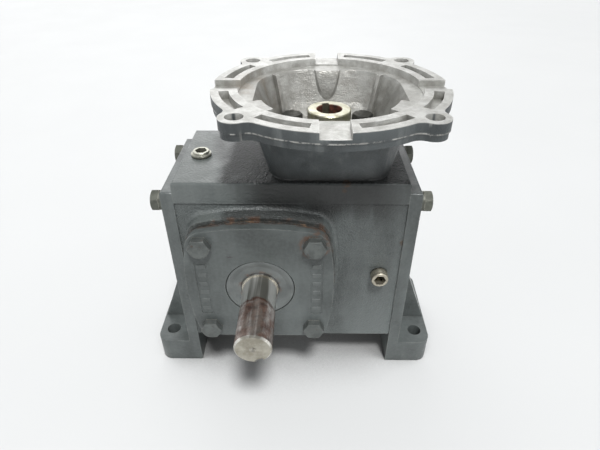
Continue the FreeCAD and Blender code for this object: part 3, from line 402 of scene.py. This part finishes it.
def output_steel():
    """Ground steel with painted reflection streaks: bright by the seal, rust-stained outboard, bright
    centre-drilled end.
    """
    g = Graph("output_steel")
    y = g.axes()["Y"]
    wander = g.plus(y, g.times(g.sum("SUBTRACT", g.noise(70, 4, 0.6), 0.5), 0.016))
    rusty = g.step(wander, COVER_FACE - 0.026, COVER_FACE - 0.021, 1.0, 0.0)
    end_face = g.step(y, SHAFT_END + 0.0009, SHAFT_END + 0.0016, 1.0, 0.0)
    facing_out = g.step(g.facing()["Y"], -0.9, -0.5, 1.0, 0.0)
    rusty = g.times(rusty, g.without(g.most(end_face, facing_out)))
    patches = g.step(g.noise(110, 6, 0.7, stretch=(1, 0.6, 1)), 0.30, 0.62)
    amount = g.times(rusty, g.sum("MULTIPLY_ADD", patches, 0.55, 0.42))
    rust_colour = g.mix(g.step(g.noise(200, 5, 0.7), 0.3, 0.7), tone(56, 40, 36), tone(112, 88, 78))
    # A darker rust line marks where the clean length begins.
    line = g.times(g.step(wander, COVER_FACE - 0.0245, COVER_FACE - 0.0225),
                   g.step(wander, COVER_FACE - 0.0225, COVER_FACE - 0.0205, 1.0, 0.0))
    # Painted reflections: bright and dark streaks along the shaft.
    shaft_reflection_streaks = g.step(g.noise(150, 3, 0.6, stretch=(1, 0.05, 1)), 0.36, 0.56)
    steel = g.mix(shaft_reflection_streaks, tone(142, 140, 133), tone(252, 251, 247))
    colour = g.mix(amount, steel, rust_colour)
    colour = g.mix(g.times(line, 0.7), colour, tone(104, 56, 36))
    worn_end = g.mix(g.step(g.noise(120, 5, 0.65), 0.35, 0.65),
                     tone(176, 172, 160), tone(146, 141, 128))
    colour = g.mix(facing_out, colour, worn_end)
    turned_marks = g.noise(900, 2, 0.5, stretch=(0.15, 1, 0.15))
    roughness = g.sum("MULTIPLY_ADD", amount, 0.20, g.step(turned_marks, 0.3, 0.7, 0.30, 0.36))
    metallic = g.step(amount, 0.0, 1.0, 0.9, 0.4)
    round_the_shaft = g.add("ShaderNodeTangent", direction_type="RADIAL", axis="Y")
    g.feed(g.shader.inputs["Tangent"], round_the_shaft.outputs[0])
    pitting = g.times(g.times(g.noise(700, 4, 0.7), amount), 5.0)
    normal = g.bump(g.plus(g.times(turned_marks, 0.15), pitting), 0.00002)
    return g.finish(colour, roughness, normal, metallic, Anisotropic=0.9)


def quill_steel():
    """Turned steel with greenish oil film and rust in the bore."""
    g = Graph("quill_steel")
    place = g.axes()
    radius = g.length(g.sum("SUBTRACT", place["X"], WORM_X), place["Y"])
    in_bore = g.step(radius, BORE_WALL, BORE_WALL + 0.0005, 1.0, 0.0)
    steel = g.mix(g.step(g.noise(150, 5, 0.65), 0.35, 0.65), tone(178, 176, 160), tone(148, 146, 122))
    stain = g.step(g.noise(170, 6, 0.7, offset=(2, 2, 2)), 0.54, 0.7)
    steel = g.mix(g.times(stain, 0.6), steel, tone(96, 84, 52))
    rust = g.mix(g.step(g.noise(300, 5, 0.7), 0.35, 0.65), tone(52, 34, 26), tone(120, 70, 52))
    colour = g.mix(in_bore, steel, rust)
    marks = g.noise(800, 2, 0.5, stretch=(0.2, 0.2, 1))
    roughness = g.sum("MULTIPLY_ADD", in_bore, 0.3, g.step(marks, 0.3, 0.7, 0.28, 0.42))
    metallic = g.step(in_bore, 0.0, 1.0, 0.85, 0.2)
    return g.finish(colour, roughness, g.bump(marks, 0.0001), metallic)


def plug_steel(name, body, rust):
    """A plated socket plug with bright edges, rust bloom and grime with painted shade in its socket.
    """
    g = Graph(name)
    bloom = g.step(g.noise(360, 6, 0.75), 0.66 - 0.25 * rust, 0.8 - 0.25 * rust)
    colour = g.mix(g.step(g.noise(220, 4), 0.35, 0.65), body, [c * 0.75 for c in body[:3]] + [1.0])
    edges = g.step(g.crevice(0.001, inside=True), 0.4, 0.6)
    colour = g.mix(g.times(edges, 0.5), colour, tone(206, 202, 190))
    colour = g.mix(g.times(bloom, 0.8), colour, tone(124, 84, 48))
    # Grime and painted shade in the socket.
    colour = g.mix(g.times(g.step(g.crevice(0.005), 0.28, 0.62), 0.96), colour, DARK_GRIME)
    roughness = g.step(g.noise(300, 4), 0.3, 0.7, 0.25, 0.42)
    normal = g.bump(g.plus(g.noise(1000, 3), g.times(bloom, 0.6)), 0.0001)
    return g.finish(colour, roughness, normal, g.step(bloom, 0.0, 1.0, 0.85, 0.2))


def seal_rubber():
    """Overpainted seal face with rubbed patches and a dark lip."""
    g = Graph("seal_rubber")
    place = g.axes()
    radius = g.length(g.sum("SUBTRACT", place["X"], GEAR.x), g.sum("SUBTRACT", place["Z"], GEAR.z))
    face = g.mix(g.step(g.noise(70, 5), 0.35, 0.65), tone(102, 106, 105), tone(86, 90, 89))
    lip = g.step(radius, 0.0118, 0.0136, 1.0, 0.0)
    ragged = g.times(g.step(radius, 0.0125, 0.0155, 1.0, 0.0),
                     g.step(g.noise(240, 5, 0.7), 0.45, 0.6))
    colour = g.mix(g.times(ragged, 0.6), face, RUST)
    colour = g.mix(lip, colour, tone(30, 29, 27))
    colour = g.mix(g.step(radius, 0.02215, 0.02245), colour, tone(18, 20, 20))
    roughness = g.step(g.noise(160, 4), 0.3, 0.7, 0.44, 0.6)
    return g.finish(colour, roughness, g.bump(g.noise(500, 3), 0.0001))


def plain_metal(name, light, dark, rough_low, rough_high, metallic=0.9):
    """Clean machined metal, a little cloudy, with grime and painted shade in its corners."""
    g = Graph(name)
    colour = g.mix(g.step(g.noise(130, 5, 0.6), 0.3, 0.7), light, dark)
    # Grime and painted shade in corners.
    colour = g.mix(g.times(g.step(g.crevice(0.003), 0.4, 0.9), 0.5), colour, DARK_GRIME)
    roughness = g.step(g.noise(260, 4), 0.3, 0.7, rough_low, rough_high)
    return g.finish(colour, roughness, g.bump(g.noise(900, 3), 0.00006), metallic)


def gasket_fibre():
    g = Graph("gasket_fibre")
    fibre = g.noise(700, 5, 0.7, stretch=(1, 1, 0.3))
    colour = g.mix(fibre, tone(30, 26, 22), tone(66, 54, 40))
    return g.finish(colour, g.step(fibre, 0.3, 0.7, 0.7, 0.9), g.bump(fibre, 0.0002))


def dress(material, *names):
    """Gives each named CAD piece one material."""
    for name in names:
        slots = nodes[name].data.materials
        slots.clear()
        slots.append(material)
        for face in nodes[name].data.polygons:
            face.material_index = 0


dress(housing_paint(), "housing")
dress(cover_paint(), "front_cover")
dress(painted_casting("bracket_paint", 0.3), "left_foot_bracket", "right_foot_bracket")
dress(painted_casting("rear_paint", 0.3), "rear_cover", "worm_end_cap")
dress(flange_metal(), "motor_flange")
dress(bolt_steel("cover_bolt_steel", tone(100, 104, 102), 0.85, 0.45), "front_cover_bolts")
dress(bolt_steel("bracket_bolt_steel", tone(98, 100, 92), 0.7, 0.2),
      "left_bracket_bolts", "right_bracket_bolts", "rear_cover_bolts",
      "left_bracket_washers", "right_bracket_washers")
dress(bolt_steel("flange_bolt_steel", tone(66, 66, 62), 0.3, 0.15),
      "flange_bolts", "worm_end_cap_screws")
dress(output_steel(), "output_shaft")
dress(quill_steel(), "worm_shaft")
dress(plug_steel("fill_plug_steel", tone(176, 176, 164), 0.3), "fill_plug", "drain_plug")
dress(plug_steel("level_plug_steel", tone(186, 180, 164), 0.35), "level_plug")
dress(seal_rubber(), "output_seal", "input_seal")
dress(gasket_fibre(), "front_cover_gasket", "rear_cover_gasket",
      "worm_end_cap_gasket", "flange_gasket")
dress(plain_metal("wheel_bronze", tone(196, 150, 84), tone(150, 106, 58), 0.25, 0.4), "worm_wheel")
dress(plain_metal("machined_steel", tone(186, 186, 184), tone(150, 150, 148), 0.25, 0.4),
      "gear_key", "gear_spacer")
bearing = plain_metal("bearing_steel", tone(214, 214, 214), tone(184, 184, 186), 0.1, 0.22, 1.0)
dress(bearing, *[name for name in nodes if "_bearing_" in name])


# ---------------------------------------------------------------- softened edges

def soften(names, width, angle, segments):
    """Rounds a part's sharp edges a little, the way castings and forgings are."""
    for name in names:
        weld = nodes[name].modifiers.new("weld", "WELD")
        weld.merge_threshold = 0.00001
        bevel = nodes[name].modifiers.new("rounded_edges", "BEVEL")
        bevel.width = width
        bevel.segments = segments
        bevel.limit_method = "ANGLE"
        bevel.angle_limit = math.radians(angle)
        bevel.harden_normals = True


soften(["left_foot_bracket", "right_foot_bracket", "front_cover", "rear_cover"], 0.9 * MM, 35, 3)
soften(["motor_flange", "housing"], 0.45 * MM, 35, 2)
soften(["front_cover_bolts", "rear_cover_bolts", "flange_bolts", "left_bracket_bolts",
        "right_bracket_bolts", "fill_plug", "level_plug", "drain_plug"], 0.25 * MM, 25, 2)


# ---------------------------------------------------------------- cover panels

def make_panel_bars():
    """A column of short raised bars in each of the cover's two sunk panels."""
    bars = bmesh.new()
    for side in (-1, 1):
        for step in range(BARS_PER_PANEL):
            up = (step - (BARS_PER_PANEL - 1) / 2) * BAR_SPACING
            middle = Vector((GEAR.x + side * PANEL_OFFSET, COVER_FACE + PANEL_DEPTH, GEAR.z + up))
            shape = Matrix.Translation(middle) @ Matrix.Diagonal((*BAR_SIZE, 1.0))
            bmesh.ops.create_cube(bars, size=1.0, matrix=shape)
    mesh = bpy.data.meshes.new("panel_bars")
    bars.to_mesh(mesh)
    bars.free()
    piece = bpy.data.objects.new("panel_bars", mesh)
    bpy.context.collection.objects.link(piece)
    mesh.materials.append(painted_casting("bar_paint", 0.12, wear=0.06))
    bevel = piece.modifiers.new("rounded_edges", "BEVEL")
    bevel.width = 0.35 * MM
    bevel.segments = 3
    bevel.harden_normals = True
    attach(piece, "gearcase")


make_panel_bars()


# ---------------------------------------------------------------- studio

def make_floor():
    """A plain pale floor with painted shade close to what stands on it."""
    mesh = bpy.data.meshes.new("floor")
    corners = [(x * FLOOR_HALF, y * FLOOR_HALF, 0) for x, y in ((-1, -1), (1, -1), (1, 1), (-1, 1))]
    mesh.from_pydata(corners, [], [(0, 1, 2, 3)])
    floor = bpy.data.objects.new("floor", mesh)
    bpy.context.collection.objects.link(floor)
    g = Graph("floor_white")
    shade = g.mix(g.noise(3, 2), tone(203, 204, 204), tone(207, 208, 208))
    # Painted shade on the floor close to what stands on it.
    shade = g.mix(g.step(g.crevice(0.07), 0.30, 0.75), shade, tone(122, 122, 121))
    roughness = g.step(g.noise(8, 2), 0.3, 0.7, 0.55, 0.65)
    mesh.materials.append(g.finish(shade, roughness, g.bump(g.noise(40, 2), 0.0001)))


def make_light(kind, name, place, size, power):
    """A sun or a disc aimed at the object; the discs show only as sheen."""
    data = bpy.data.lights.new(name, kind)
    if kind == "SUN":
        data.angle = size
    else:
        data.shape = "DISK"
        data.size = size
    data.energy = power
    lamp = bpy.data.objects.new(name, data)
    bpy.context.collection.objects.link(lamp)
    lamp.visible_diffuse = kind == "SUN"
    lamp.location = place
    lamp.rotation_euler = (Vector(OBJECT_MIDDLE) - Vector(place)).to_track_quat("-Z", "Y").to_euler()


def make_world():
    """A pale room whose walls are brighter than its ceiling."""
    world = bpy.data.worlds.new("studio")
    world.use_nodes = True
    tree = world.node_tree
    background = tree.nodes["Background"]
    background.inputs["Color"].default_value = ROOM_TINT
    split = tree.nodes.new("ShaderNodeSeparateXYZ")
    tree.links.new(tree.nodes.new("ShaderNodeTexCoord").outputs["Generated"], split.inputs[0])
    rise = tree.nodes.new("ShaderNodeMapRange")
    tree.links.new(split.outputs["Z"], rise.inputs["Value"])
    rise.inputs["To Min"].default_value = WALL_GLOW
    rise.inputs["To Max"].default_value = CEILING_GLOW
    tree.links.new(rise.outputs["Result"], background.inputs["Strength"])
    bpy.context.scene.world = world


def make_camera():
    """Looks down at the front face from above the output shaft."""
    data = bpy.data.cameras.new("camera")
    data.sensor_width = CAMERA_SENSOR
    data.lens = CAMERA_LENS
    data.clip_start = 0.01
    camera = bpy.data.objects.new("camera", data)
    bpy.context.collection.objects.link(camera)
    turn = (Matrix.Rotation(CAMERA_YAW, 4, "Z")
            @ Matrix.Rotation(math.pi / 2 - CAMERA_PITCH, 4, "X")
            @ Matrix.Rotation(CAMERA_ROLL, 4, "Z"))
    camera.matrix_world = Matrix.Translation(CAMERA_PLACE) @ turn
    bpy.context.scene.camera = camera


make_floor()
make_light("SUN", "key", (0.16, -0.62, 1.3), math.radians(10), 3.3)
make_light("SUN", "rear_fill", (-0.5, 1.2, 0.35), math.radians(70), 1.2)
make_light("AREA", "back_sheen", (0.0, 1.4, 1.15), 1.3, 5.5)
make_light("AREA", "left_sheen", (-1.3, -0.3, 0.9), 0.5, 3)
make_light("AREA", "right_sheen", (1.3, -0.5, 0.7), 0.4, 3)
make_world()
make_camera()
bpy.context.scene.view_settings.view_transform = "Standard"
